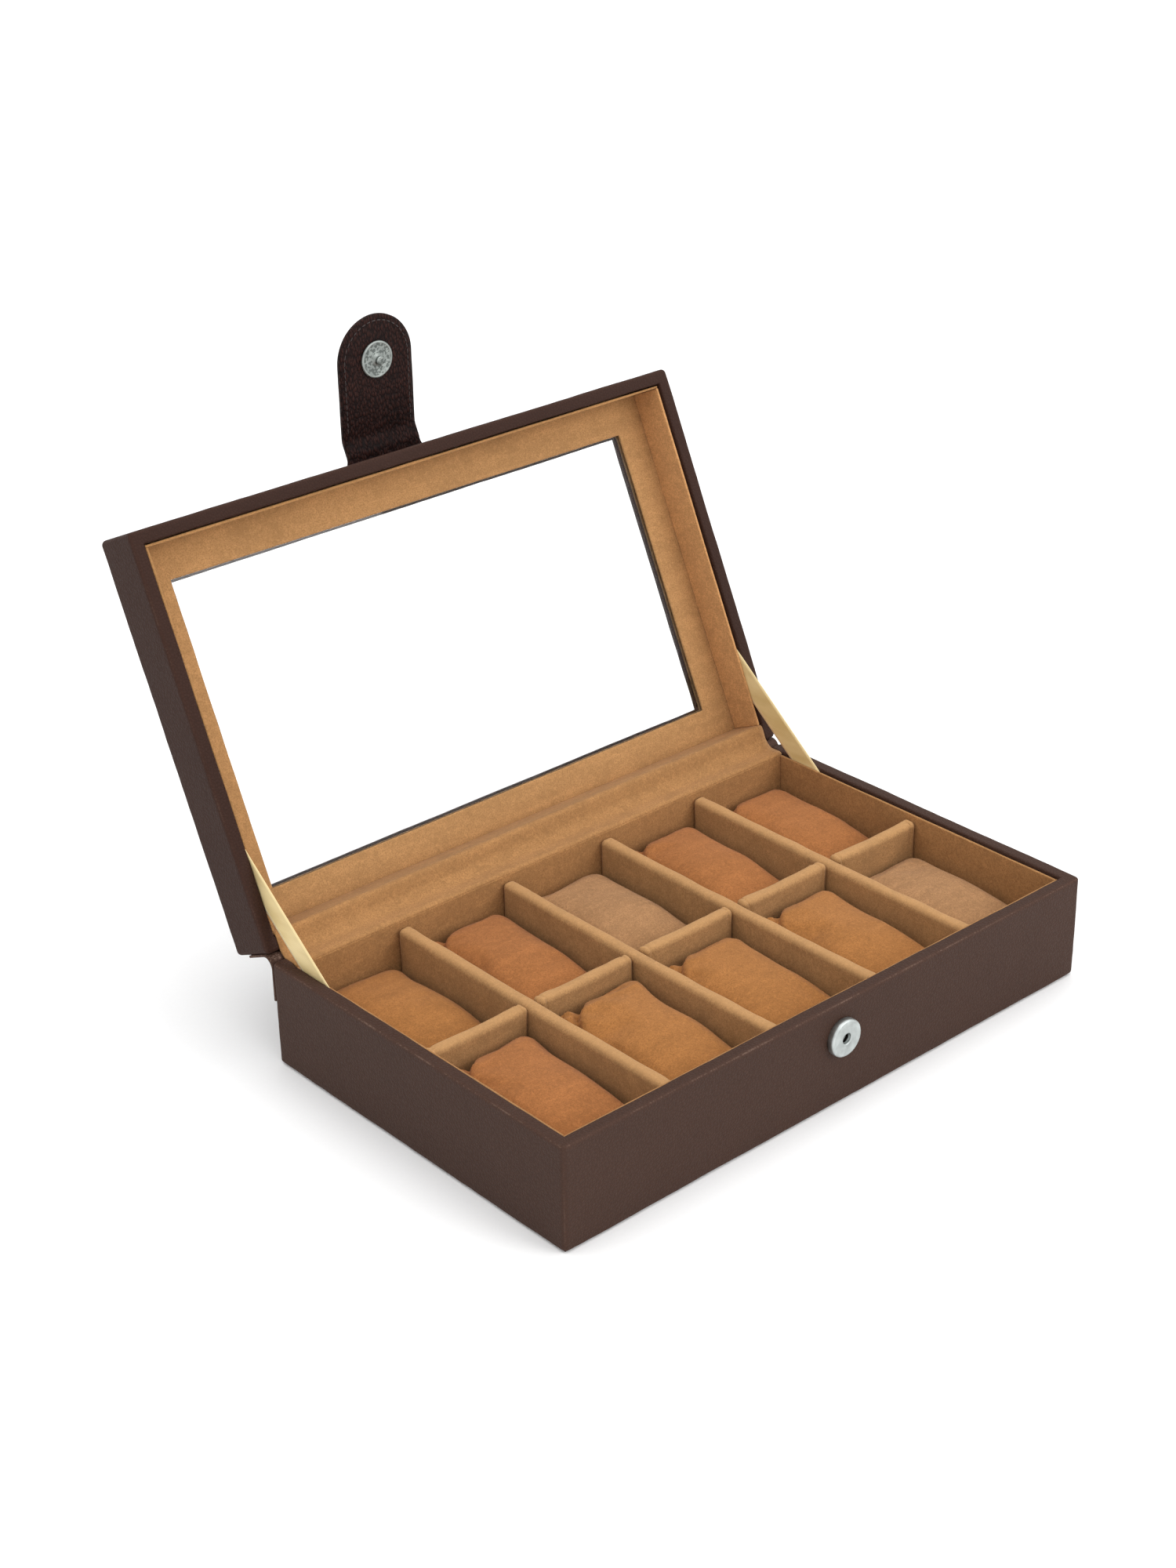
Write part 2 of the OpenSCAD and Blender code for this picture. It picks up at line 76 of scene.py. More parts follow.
def softbox(name, place, size, watts):
    """A square area light that faces the middle of the box."""
    light = bpy.data.objects.new(name, bpy.data.lights.new(name, "AREA"))
    light.data.size = size
    light.data.energy = watts
    light.location = place
    to_box = Vector((0, 0.03, 0.08)) - Vector(place)
    light.rotation_euler = to_box.to_track_quat("-Z", "Y").to_euler()
    bpy.context.scene.collection.objects.link(light)


softbox("front_softbox", (0.9, -2.0, 1.3), 1.2, 15)
softbox("top_softbox", (0.2, 0.2, 2.4), 1.6, 10)

ceiling = bpy.data.objects.new("ceiling_light", bpy.data.lights.new("ceiling_light", "SUN"))
ceiling.data.energy = 1.3
ceiling.data.angle = math.radians(130)
ceiling.rotation_euler = [math.radians(a) for a in (14, 1, 0)]
bpy.context.scene.collection.objects.link(ceiling)


class Wire:
    """One output in a material; sums on it add Math nodes."""

    def __init__(self, finish, socket):
        self.finish = finish
        self.socket = socket

    def math(self, operation, other=0.0, swapped=False):
        pair = {0: other, 1: self} if swapped else {0: self, 1: other}
        return self.finish.node("Math", {"operation": operation}, pair)

    def __add__(self, other):
        return self.math("ADD", other)

    def __sub__(self, other):
        return self.math("SUBTRACT", other)

    def __rsub__(self, other):
        return self.math("SUBTRACT", other, swapped=True)

    def __mul__(self, other):
        return self.math("MULTIPLY", other)

    __radd__ = __add__
    __rmul__ = __mul__


def tone(red, green, blue):
    """A colour as a shader takes it, from its 0 to 255 values on screen."""
    return tuple((c / 255) ** 2.2 for c in (red, green, blue)) + (1,)


class Finish:
    """A material in the making. Patterns are sized in millimetres."""

    def __init__(self, name, **fixed):
        self.material = bpy.data.materials.new(name)
        self.material.use_nodes = True
        self.tree = self.material.node_tree
        self.shader = self.tree.nodes["Principled BSDF"]
        for socket, value in fixed.items():
            self.shader.inputs[socket.replace("_", " ")].default_value = value

    def plug(self, socket, value):
        if isinstance(value, Wire):
            self.tree.links.new(value.socket, socket)
        else:
            socket.default_value = value

    def node(self, kind, settings, inputs, output=0):
        """Adds any node: its settings first, then its sockets."""
        made = self.tree.nodes.new("ShaderNode" + kind)
        for name, value in settings.items():
            setattr(made, name, value)
        for socket, value in inputs.items():
            self.plug(made.inputs[socket], value)
        return Wire(self, made.outputs[output])

    def place(self, shut_lid=False):
        """The surface's own place in millimetres, on the lid as when shut."""
        spot = self.node("TexCoord", {}, {}, "Object")
        turn, shift = (0, 0, 0), (0, 0, 0)
        if shut_lid:
            back = LID_OPEN.inverted()
            turn = back.to_euler()
            shift = back.translation / mm
        size = (1 / mm, 1 / mm, 1 / mm)
        return self.node(
            "Mapping", {}, {"Vector": spot, "Location": shift, "Rotation": turn, "Scale": size})

    def stretch(self, place, across, turn=(0, 0, 0)):
        return self.node("Mapping", {}, {"Vector": place, "Rotation": turn, "Scale": across})

    def clouds(self, place, size, detail=3.0, coarse=0.5):
        inputs = {"Vector": place, "Scale": 1 / size, "Detail": detail, "Roughness": coarse}
        return self.node("TexNoise", {}, inputs, "Fac")

    def cells(self, place, size, feature="F1"):
        inputs = {"Vector": place, "Scale": 1 / size, "Randomness": 0.9}
        return self.node("TexVoronoi", {"feature": feature}, inputs, "Distance")

    def rise(self, value, low, high, start=0.0, end=1.0):
        """A smooth step from start to end as value goes from low to high."""
        inputs = {"Value": value, "From Min": low, "From Max": high,
                  "To Min": start, "To Max": end}
        return self.node("MapRange", {"interpolation_type": "SMOOTHSTEP"}, inputs)

    def mix(self, share, first, second):
        return self.node("Mix", {"data_type": "RGBA"}, {0: share, 6: first, 7: second}, 2)

    def axes(self, place):
        parts = self.node("SeparateXYZ", {}, {"Vector": place}).socket.node
        return [Wire(self, out) for out in parts.outputs]

    def done(self, colour, roughness, height=None, strength=0.5, depth=0.1):
        """Joins up the shader; height is in units of depth millimetres."""
        self.plug(self.shader.inputs["Base Color"], colour)
        self.plug(self.shader.inputs["Roughness"], roughness)
        if height is not None:
            inputs = {"Strength": strength, "Distance": depth * mm, "Height": height}
            self.plug(self.shader.inputs["Normal"], self.node("Bump", {}, inputs, "Normal"))
        return self.material


# The sweep is matt white paper with the faintest tooth.
paper = Finish("white_paper")
tooth = paper.clouds(paper.place(), 2.0)
paper_white = paper.mix(tooth, tone(248, 248, 248), tone(252, 252, 252))
floor_bm = bmesh.new()
bmesh.ops.create_grid(floor_bm, x_segments=1, y_segments=1, size=80)
floor_mesh = bpy.data.meshes.new("floor")
floor_bm.to_mesh(floor_mesh)
floor_bm.free()
floor_mesh.materials.append(paper.done(paper_white, 0.9, tooth, 0.05))
floor = bpy.data.objects.new("floor", floor_mesh)
bpy.context.scene.collection.objects.link(floor)

# ---- Boards of the base and the lid -------------------------------------------
# Fibreboard, sawn and glued into a tray and a shallow lid. Leather and suede
# hide all of it, so the CAD boards keep their shape and only get a finish.
fibre = Finish("fibreboard")
fibre_place = fibre.place()
fibre_fleck = fibre.clouds(fibre.stretch(fibre_place, (1, 1, 0.3)), 0.5, 4)
fibre_patch = fibre.clouds(fibre_place, 14.0)
fibre_colour = fibre.mix(
    fibre.rise(fibre_fleck * 0.7 + fibre_patch * 0.3, 0.35, 0.65),
    tone(134, 102, 72), tone(176, 142, 106))
fibreboard = fibre.done(fibre_colour, 0.85, fibre_fleck, 0.3)

card = Finish("grey_card")
card_fleck = card.clouds(card.place(), 0.4, 4)
card_colour = card.mix(card_fleck, tone(150, 136, 118), tone(178, 165, 146))
grey_card = card.done(card_colour, 0.9, card_fleck, 0.2, 0.05)

for name, node in frame["nodes"].items():
    if name.endswith("board"):
        node.data.materials.clear()
        node.data.materials.append(fibreboard)
    if name.endswith("cores") or name == "flap_stiffener":
        node.data.materials.clear()
        node.data.materials.append(grey_card)

# ---- Leather of the base -------------------------------------------------------
# One dark brown pebbled leather skin is glued round the tray, turned over the
# rim and down inside, and turned under the floor. Its edges have rubbed pale,
# and a painted highlight runs along every edge.
leather_rub = tone(124, 102, 90)
rub_width = 1.0
pebble_size = 1.35
sliver = 0.12 * mm
skin_step = 3.0 * mm
rim_edge_r = 1.5 * mm
foot_edge_r = 1.6 * mm
corner_r = 2.4 * mm
inner_edge_r = 1.0 * mm
skin_t = 1.0 * mm
turn_in = 11.0 * mm
turn_under = 12.0 * mm

hinge = next(j for j in frame["joints"] if j["name"] == "lid_hinge")
hinge_spot = Vector(hinge["pos_m"])
open_angle = math.radians(-hinge["range_deg"][0])
LID_OPEN = (Matrix.Translation(hinge_spot) @ Matrix.Rotation(-open_angle, 4, "X")
            @ Matrix.Translation(-hinge_spot))


def shut_box(name):
    """A lid node's lowest and highest corners with the lid shut."""
    back = LID_OPEN.inverted()
    spots = [back @ v.co for v in frame["nodes"][name].data.vertices]
    return (Vector([min(s[i] for s in spots) for i in range(3)]),
            Vector([max(s[i] for s in spots) for i in range(3)]))


def block(lo, hi):
    """A new bmesh holding one box between two corners."""
    bm = bmesh.new()
    bmesh.ops.create_cube(bm, size=1)
    size = [b - a for a, b in zip(lo, hi)]
    bmesh.ops.scale(bm, vec=size, verts=bm.verts)
    bmesh.ops.translate(bm, vec=(Vector(lo) + Vector(hi)) / 2, verts=bm.verts)
    return bm


def round_over(bm, edges, radius, segments=4):
    bmesh.ops.bevel(bm, geom=edges, offset=radius, offset_type="OFFSET", affect="EDGES",
                    segments=segments, profile=0.5, material=-1)


def extent(bm):
    """Lowest and highest corners of a bmesh."""
    return (Vector([min(v.co[i] for v in bm.verts) for i in range(3)]),
            Vector([max(v.co[i] for v in bm.verts) for i in range(3)]))


def cut_at(bm, axis, spots):
    normal = [float(i == axis) for i in range(3)]
    for spot in spots:
        geom = bm.verts[:] + bm.edges[:] + bm.faces[:]
        at = [spot if i == axis else 0.0 for i in range(3)]
        bmesh.ops.bisect_plane(bm, geom=geom, dist=1e-7, plane_co=at, plane_no=normal)


def slice_up(bm, step):
    """Cuts the mesh into cells of about step on every axis, with no slivers."""
    lo, hi = extent(bm)
    for axis in range(3):
        length = hi[axis] - lo[axis]
        count = max(1, round(length / step))
        cut_at(bm, axis, [lo[axis] + length * k / count for k in range(1, count)])
    bmesh.ops.remove_doubles(bm, verts=bm.verts, dist=sliver)


def unevenness(bm, height, size, seed):
    """Pushes the surface in and out a little, as hand-laid covering lies."""
    bm.normal_update()
    for v in bm.verts:
        v.co += v.normal * height * noise.noise(v.co / size + Vector((seed, 0, 0)))


def finished(bm, name, body, material, nodes=(), on_lid=False):
    """Turns a bmesh into a piece that rides on a body and stands for nodes."""
    if on_lid:
        bmesh.ops.transform(bm, matrix=LID_OPEN, verts=bm.verts)
    mesh = bpy.data.meshes.new(name)
    bm.to_mesh(mesh)
    bm.free()
    mesh.materials.append(material)
    mesh.shade_smooth()
    piece = bpy.data.objects.new(name, mesh)
    bpy.context.scene.collection.objects.link(piece)
    if body:
        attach(piece, body)
    if nodes:
        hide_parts(*nodes)
    return piece


def thicken(piece, thickness, offset=0):
    """Gives a skin its wall: offset 0 is about the middle, -1 is inwards."""
    wall = piece.modifiers.new("wall", "SOLIDIFY")
    wall.thickness = thickness
    wall.offset = offset


def case_leather(name, lo, hi, hide, wear, shut_lid=False):
    """Pebbled leather on a box, its outer edges rubbed pale by a share, wear, with a painted
    highlight band along every edge.
    """
    dark = tuple(c * 0.55 for c in hide[:3]) + (1,)
    pale = tuple(c * 1.5 for c in hide[:3]) + (1,)
    f = Finish(name, Specular_IOR_Level=0.14)
    place = f.place(shut_lid)
    drift = f.node("TexNoise", {}, {"Vector": place, "Scale": 0.8, "Detail": 2.0}, "Color")
    bent = f.node("VectorMath", {"operation": "ADD"}, {0: place, 1: drift})
    pebble = f.rise(f.cells(bent, pebble_size), 0.0, 0.75, 1.0, 0.0)
    crease = f.rise(f.cells(bent, pebble_size, "DISTANCE_TO_EDGE"), 0.16, 0.0)
    pore = f.clouds(place, 0.35, 2)
    sag = f.clouds(place, 22.0, 2)
    patch = f.clouds(place, 45.0, 4, 0.55)
    x, y, z = f.axes(place)
    in_x = hi.x / mm - x.math("ABSOLUTE")
    in_y = hi.y / mm - y.math("ABSOLUTE")
    in_z = (hi.z / mm - z).math("MINIMUM", z - lo.z / mm)
    wide = in_x.math("MAXIMUM", in_y).math("MINIMUM", in_z)
    edge = in_x.math("MINIMUM", in_y).math("MAXIMUM", wide)
    scuff = f.clouds(place, 0.9, 3, 0.7) * 0.7 + f.clouds(place, 18.0) * 0.5
    rub = f.rise(edge, rub_width, 0.2) * f.rise(scuff, 0.56, 0.74) * wear
    # Within 2.4 mm of every edge the colour is mixed paler: a painted highlight, apart from the
    # rubbed wear.
    painted_edge_highlight = f.rise(edge, 2.4, 0.0)
    colour = f.mix(f.rise(patch, 0.3, 0.7) * 0.16, hide, dark)
    colour = f.mix(crease * 0.4, colour, dark)
    colour = f.mix(f.rise(pore, 0.6, 0.8) * 0.22, colour, pale)
    colour = f.mix(painted_edge_highlight * 0.3, colour, pale)
    colour = f.mix(rub, colour, leather_rub)
    rough = 0.56 - pebble * 0.06 + pore * 0.12 + rub * 0.15
    height = pebble * 0.55 - crease * 0.4 + pore * 0.25 + sag * 0.5
    return f.done(colour, rough, height, 0.75, 0.22)


def skin_on_box(lo, hi, openings):
    """Leather laid over a box. Each opening is (top or bottom, corners, turn)."""
    bm = block(lo, hi)
    for side, (x0, y0, x1, y1), turn in openings:
        face = max(bm.faces, key=lambda f: f.calc_center_median().z * side)
        bmesh.ops.inset_individual(bm, faces=[face], thickness=rim_edge_r * 2)
        for v in face.verts:
            v.co.x = x1 if v.co.x > 0 else x0
            v.co.y = y1 if v.co.y > 0 else y0
        made = bmesh.ops.extrude_face_region(bm, geom=[face])["geom"]
        corners = [g for g in made if isinstance(g, bmesh.types.BMVert)]
        bmesh.ops.translate(bm, vec=(0, 0, -side * turn), verts=corners)
        ends = [g for g in made if isinstance(g, bmesh.types.BMFace)]
        bmesh.ops.delete(bm, geom=ends + [face], context="FACES_ONLY")
    upright = [e for e in bm.edges if all(
        abs(abs(v.co.x) - hi.x) < 1e-6 and abs(abs(v.co.y) - hi.y) < 1e-6 for v in e.verts)
        and abs(e.verts[0].co.z - e.verts[1].co.z) > mm]
    round_over(bm, upright, corner_r, 6)
    return bm


def rim_edges(bm, level, outer, half):
    """The edges round a box's top or bottom, outside or round its opening."""
    bm.normal_update()
    found = []
    for e in bm.edges:
        middle = (e.verts[0].co + e.verts[1].co) / 2
        if any(abs(v.co.z - level) > 1e-6 for v in e.verts) or len(e.link_faces) != 2:
            continue
        slopes = sorted(abs(f.normal.z) for f in e.link_faces)
        outside = abs(middle.x) > half.x - corner_r or abs(middle.y) > half.y - corner_r
        if slopes[0] < 0.5 < slopes[1] and outside == outer:
            found.append(e)
    return found


base_lo, base_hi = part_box("base_leather")
lining_lo, lining_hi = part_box("floor_lining")
mouth_gap = 0.5 * mm
mouth = (lining_lo.x - mouth_gap, lining_lo.y - mouth_gap,
         lining_hi.x + mouth_gap, lining_hi.y + mouth_gap)
under = (base_lo.x + turn_under, base_lo.y + turn_under,
         base_hi.x - turn_under, base_hi.y - turn_under)
under_fold = 0.4 * mm
base_bm = skin_on_box(base_lo, base_hi, [(1, mouth, turn_in), (-1, under, under_fold)])
round_over(base_bm, rim_edges(base_bm, base_hi.z, True, base_hi), rim_edge_r)
round_over(base_bm, rim_edges(base_bm, base_hi.z, False, base_hi), inner_edge_r)
round_over(base_bm, rim_edges(base_bm, base_lo.z, True, base_hi), foot_edge_r)
seat_x = lining_hi.x
seat_drop = 1.2 * mm
seat_step = 0.3 * mm
slice_up(base_bm, skin_step)
cut_at(base_bm, 0, [-seat_x - seat_step, -seat_x, seat_x, seat_x + seat_step])
for v in base_bm.verts:
    at_seat = v.co.y > mouth[3] - mm and abs(v.co.x) < seat_x + 1e-6
    if at_seat and v.co.z > base_hi.z - turn_in / 2:
        v.co.z -= seat_drop
unevenness(base_bm, height=0.22 * mm, size=0.03, seed=1)
unevenness(base_bm, height=0.10 * mm, size=0.006, seed=2)
base_hide = case_leather("base_hide", base_lo, base_hi, tone(68, 49, 41), wear=0.7)
base_cover = finished(base_bm, "base_cover", "base", base_hide, ["base_leather"])
thicken(base_cover, skin_t, offset=-1)

# ---- Felt under the base -------------------------------------------------------
# A sheet of dark felt is glued inside the turned-under leather. The CAD sheet
# keeps its shape.
felt = Finish("dark_felt", Sheen_Weight=0.3)
felt_place = felt.place()
felt_fuzz = felt.clouds(felt_place, 0.3, 5, 0.7)
felt_patch = felt.clouds(felt_place, 12.0)
felt_colour = felt.mix(
    felt.rise(felt_fuzz * 0.6 + felt_patch * 0.4, 0.35, 0.65), tone(34, 28, 26), tone(62, 53, 49))
felt_node = frame["nodes"]["underside_felt"]
felt_node.data.materials.clear()
felt_node.data.materials.append(felt.done(felt_colour, 0.95, felt_fuzz, 0.6, 0.2))

# ---- Suede lining of the base ---------------------------------------------------
# Five cards covered in tan suede are dropped in, the floor first. The suede
# is brushed one way here and the other there, and wraps round each card's edge.
card_edge_r = 0.5 * mm
card_step = 5.0 * mm


def suede(name, hue, shut_lid=False, highlight_from=None):
    """Brushed suede: a fine fibre over slow drifts of darker and paler nap."""
    deep = tuple(c * 0.62 for c in hue[:3]) + (1,)
    light = tuple(c * 1.28 for c in hue[:3]) + (1,)
    f = Finish(name, Sheen_Weight=0.06, Sheen_Roughness=0.5, Specular_IOR_Level=0.1)
    place = f.place(shut_lid)
    nap = f.clouds(f.stretch(place, (0.5, 1, 1)), 34.0, 4, 0.6)
    brushed = f.clouds(f.stretch(place, (0.22, 1.0, 1.0), (0.2, 0.4, 0.1)), 6.0, 3, 0.6)
    blot = f.clouds(place, 9.0, 3, 0.6)
    tuft = f.clouds(place, 2.0, 4, 0.75)
    fibre = f.clouds(place, 0.7, 3, 0.8)
    colour = f.mix(f.rise(nap, 0.3, 0.72) * 0.42, hue, deep)
    colour = f.mix(f.rise(brushed, 0.45, 0.7) * 0.42, colour, light)
    colour = f.mix(f.rise(blot, 0.56, 0.3) * 0.3, colour, deep)
    colour = f.mix(f.rise(tuft, 0.44, 0.66) * 0.5, colour, light)
    colour = f.mix(f.rise(fibre, 0.56, 0.38) * 0.7, colour, deep)
    # Above a given height the colour is painted paler: a painted highlight on tops that catch the
    # light.
    if highlight_from is not None:
        up = f.axes(place)[2]
        colour = f.mix(f.rise(up, highlight_from - 2.5, highlight_from) * 0.45, colour, light)
    height = fibre * 0.6 + tuft * 0.7 + brushed * 0.5
    return f.done(colour, 0.84 + fibre * 0.14, height, 0.5, 0.2)


def soft_block(lo, hi, radius, step):
    """A gridded box with every edge rolled round to a radius."""
    bm = block(lo, hi)
    slice_up(bm, step)
    turns = [radius * (1 - math.tan(math.radians(a))) for a in (0, 11.25, 22.5, 33.75)]
    for axis in range(3):
        cut_at(bm, axis, [lo[axis] + t for t in turns] + [hi[axis] - t for t in turns])
    for v in bm.verts:
        inner = Vector([min(max(v.co[i], lo[i] + radius), hi[i] - radius) for i in range(3)])
        v.co = inner + (v.co - inner).normalized() * radius
    return bm


lining_suede = suede("lining_suede", tone(166, 122, 79))


def covered_card(name, lo, hi, material, seed, body="base", on_lid=False):
    """A card in suede: rounded edges and a faintly quilted face."""
    thin = min(hi[i] - lo[i] for i in range(3))
    bm = soft_block(lo, hi, min(card_edge_r, thin * 0.45), card_step)
    unevenness(bm, height=0.16 * mm, size=0.02, seed=seed)
    return finished(bm, name + "_suede", body, material, [name], on_lid)


for seed, name in enumerate(("floor_lining", "front_lining", "back_lining",
                             "left_lining", "right_lining")):
    covered_card(name, *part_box(name), lining_suede, seed)

# ---- Dividers --------------------------------------------------------------------
# Core boards padded and rolled in suede, sewn shut at the ends. Four run from
# front to back, and five short ones stand between them along the middle.
divider_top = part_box("cross_divider_1")[1].z
# The suede turns paler towards the dividers' tops: a painted highlight where the tops catch the
# light, with some rubbed nap.
divider_suede = suede("divider_suede", tone(168, 128, 86), highlight_from=divider_top / mm)
roll_r = 2.7 * mm
seam_inset = 3.4 * mm
seam_half = 0.8 * mm
seam_depth = 1.0 * mm
seam_reach = 16 * mm
seam_fade = 14 * mm
pucker_depth = 0.5 * mm
pucker_reach = 9 * mm
sag_depth = 0.7 * mm


def padded_divider(name, lo, hi, along, seed, seam):
    """A rolled-edge divider, drawn in by a seam near its ends."""
    bm = soft_block(lo, hi, roll_r, step=3.0 * mm)
    ends = (lo[along], hi[along])
    cut_at(bm, along, [e + way * seam_inset + step * seam_half for e, way in zip(ends, (1, -1))
                       for step in (-1, -0.5, 0, 0.5, 1)])
    bm.normal_update()
    for v in bm.verts:
        from_end = min(abs(v.co[along] - e) for e in ends)
        high = min(1.0, max(0.0, (v.co.z - hi.z + seam_reach) / seam_fade))
        wander = noise.noise(v.co / 0.007 + Vector((seed, 3, 0)))
        drawn = math.exp(-((from_end - seam_inset * (1 + 0.35 * wander)) / seam_half) ** 2)
        v.co -= v.normal * seam_depth * drawn * high * seam
        pucker = noise.noise(Vector((from_end / 0.0035, seed * 7.0, v.co[1 - along] / 0.004)))
        v.co += v.normal * pucker_depth * pucker * math.exp(-from_end / pucker_reach) * high
        sag = math.sin(math.pi * min(1.0, (v.co[along] - lo[along]) / (hi[along] - lo[along])))
        v.co.z -= sag_depth * sag * high
    unevenness(bm, height=0.45 * mm, size=0.016, seed=seed)
    return finished(bm, name + "_suede", "base", divider_suede, [name])


for k in range(1, 5):
    lo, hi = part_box(f"cross_divider_{k}")
    padded_divider(f"cross_divider_{k}", lo, hi, along=1, seed=10 + k, seam=0.15)
for k in range(1, 6):
    lo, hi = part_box(f"row_divider_{k}")
    padded_divider(f"row_divider_{k}", lo, hi, along=0, seed=20 + k, seam=0.5)

# ---- Snap socket -----------------------------------------------------------------
# The female half: a satin nickel cap pressed over a ring magnet, with a rolled
# mouth, held by two prongs through the front board and a washer.
def nickel(name, centre, bright, stipple, well):
    """Satin plate with turned rings; stippled, or with painted shade on the inner wall of its
    round well.
    """
    dull = tuple(c * 0.72 for c in bright[:3]) + (1,)
    f = Finish(name, Metallic=1.0)
    place = f.place()
    off = f.node("VectorMath", {"operation": "SUBTRACT"}, {0: place, 1: [c / mm for c in centre]})
    rad = f.node("VectorMath", {"operation": "LENGTH"}, {0: off}, "Value")
    rings = (rad * 30.0).math("SINE") * 0.5 + 0.5
    scratch = f.clouds(f.stretch(place, (0.4, 2, 6), (0.3, 0.2, 0.4)), 0.8, 3)
    cloud = f.clouds(place, 5.0, 3)
    pits = f.rise(f.clouds(place, 1.3, 2), 0.46, 0.56)
    pits = pits * f.rise(rad, 3.0, 3.6) * f.rise(rad, 8.3, 7.6)
    colour = f.mix(f.rise(cloud, 0.3, 0.7), dull, bright)
    colour = f.mix(pits * stipple * 0.7, colour, tone(84, 90, 87))
    # The inner wall of the well is painted near black: painted shade in the hole.
    painted_well_shade = f.rise(rad, 3.3, 2.9) * f.rise(rad, 1.9, 2.3) * well
    colour = f.mix(painted_well_shade, colour, tone(20, 18, 16))
    rough = 0.34 + cloud * 0.08 + scratch * 0.1 + pits * stipple * 0.15
    height = rings * 0.05 + scratch * 0.2 + pits * (-1.2 * stipple)
    return f.done(colour, rough, height, 0.35, 0.12)


def turned(outline, centre, facing):
    """Spins (radius, height) points in mm round a line from centre, facing a way."""
    bm = bmesh.new()
    chain = [bm.verts.new((r * mm, 0, h * mm)) for r, h in outline]
    for a, b in zip(chain, chain[1:]):
        bm.edges.new((a, b))
    bmesh.ops.spin(bm, geom=bm.verts[:] + bm.edges[:], cent=(0, 0, 0), axis=(0, 0, 1),
                   angle=math.tau, steps=72, use_merge=True)
    bmesh.ops.remove_doubles(bm, verts=bm.verts, dist=1e-6)
    bmesh.ops.recalc_face_normals(bm, faces=bm.faces)
    bm.transform(Matrix.Translation(centre) @ facing.to_4x4())
    return bm


socket_lo, socket_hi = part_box("snap_socket")
socket_centre = (socket_lo + socket_hi) / 2
socket_centre.y = base_lo.y
to_front = Matrix.Rotation(math.pi / 2, 3, "X")
rivet_bm = turned([
    (0, 0.5), (1.5, 0.5), (1.55, 0.85), (0.9, 1.05), (0.35, 0.95), (0, 0.8)],
    socket_centre, to_front)
socket_nickel = nickel(
    "socket_nickel", socket_centre, tone(196, 202, 200), stipple=0.0, well=1.0)
finished(rivet_bm, "socket_rivet", "base", socket_nickel)
cap_bm = turned([
    (2.5, 0.5), (2.5, 2.9), (2.62, 3.3), (2.95, 3.52), (3.3, 3.45), (3.55, 3.3), (7.3, 3.3),
    (7.55, 3.36), (7.8, 3.5), (8.15, 3.5), (8.6, 3.32), (8.9, 2.95), (9.0, 2.4), (9.0, 0.25),
    (8.8, 0.02), (6.0, 0.02), (2.6, 0.02), (0, 0.02), (0, 0.5), (2.5, 0.5)],
    socket_centre, to_front)
finished(cap_bm, "socket_cap", "base", socket_nickel, ["snap_socket"])

steel = Finish("washer_steel", Metallic=1.0)
steel_scratch = steel.clouds(steel.stretch(steel.place(), (1, 4, 4)), 0.6, 4)
steel_colour = steel.mix(steel_scratch, tone(130, 132, 134), tone(172, 174, 176))
washer_steel = steel.done(steel_colour, 0.35 + steel_scratch * 0.2, steel_scratch, 0.2, 0.05)
ferrite = Finish("ferrite")
ferrite_grain = ferrite.clouds(ferrite.place(), 0.2, 4)
ferrite_colour = ferrite.mix(ferrite_grain, tone(40, 40, 42), tone(66, 66, 68))
ferrite_ring = ferrite.done(ferrite_colour, 0.7, ferrite_grain, 0.3, 0.05)
for name, material in (("socket_washer", washer_steel), ("stud_washer", washer_steel),
                       ("socket_magnet", ferrite_ring)):
    frame["nodes"][name].data.materials.clear()
    frame["nodes"][name].data.materials.append(material)

# ---- Leather of the lid ------------------------------------------------------------
# The lid's skin runs over the sides and the top, down round the window, and
# turns in at the rim. The back rim is let down for the suede strip.
lid_lo, lid_hi = shut_box("lid_leather")
glass_lo, glass_hi = shut_box("window_glass")
glass_lap = 4.0 * mm
window = (glass_lo.x + glass_lap, glass_lo.y + glass_lap,
          glass_hi.x - glass_lap, glass_hi.y - glass_lap)
window_turn = lid_hi.z - glass_hi.z - 0.1 * mm
lid_bm = skin_on_box(lid_lo, lid_hi, [(1, window, window_turn), (-1, mouth, turn_in)])
round_over(lid_bm, rim_edges(lid_bm, lid_hi.z, True, lid_hi), foot_edge_r)
round_over(lid_bm, rim_edges(lid_bm, lid_hi.z, False, lid_hi), inner_edge_r)
round_over(lid_bm, rim_edges(lid_bm, lid_lo.z, True, lid_hi), rim_edge_r)
round_over(lid_bm, rim_edges(lid_bm, lid_lo.z, False, lid_hi), inner_edge_r)
slice_up(lid_bm, skin_step)
cut_at(lid_bm, 0, [-seat_x - seat_step, -seat_x, seat_x, seat_x + seat_step])
for v in lid_bm.verts:
    at_seat = v.co.y > mouth[3] - mm and abs(v.co.x) < seat_x + 1e-6
    if at_seat and v.co.z < lid_lo.z + turn_in / 2:
        v.co.z += seat_drop
unevenness(lid_bm, height=0.25 * mm, size=0.03, seed=3)
unevenness(lid_bm, height=0.10 * mm, size=0.006, seed=4)
# The lid's hide is a darker copy of the base's: painted shade for the dimmer light on the lid's
# outer sides.
shaded_lid_hide = case_leather(
    "shaded_lid_hide", lid_lo, lid_hi, tone(57, 38, 31), wear=0.2, shut_lid=True)
lid_cover = finished(lid_bm, "lid_cover", "lid", shaded_lid_hide, ["lid_leather"], True)
thicken(lid_cover, skin_t, offset=-1)

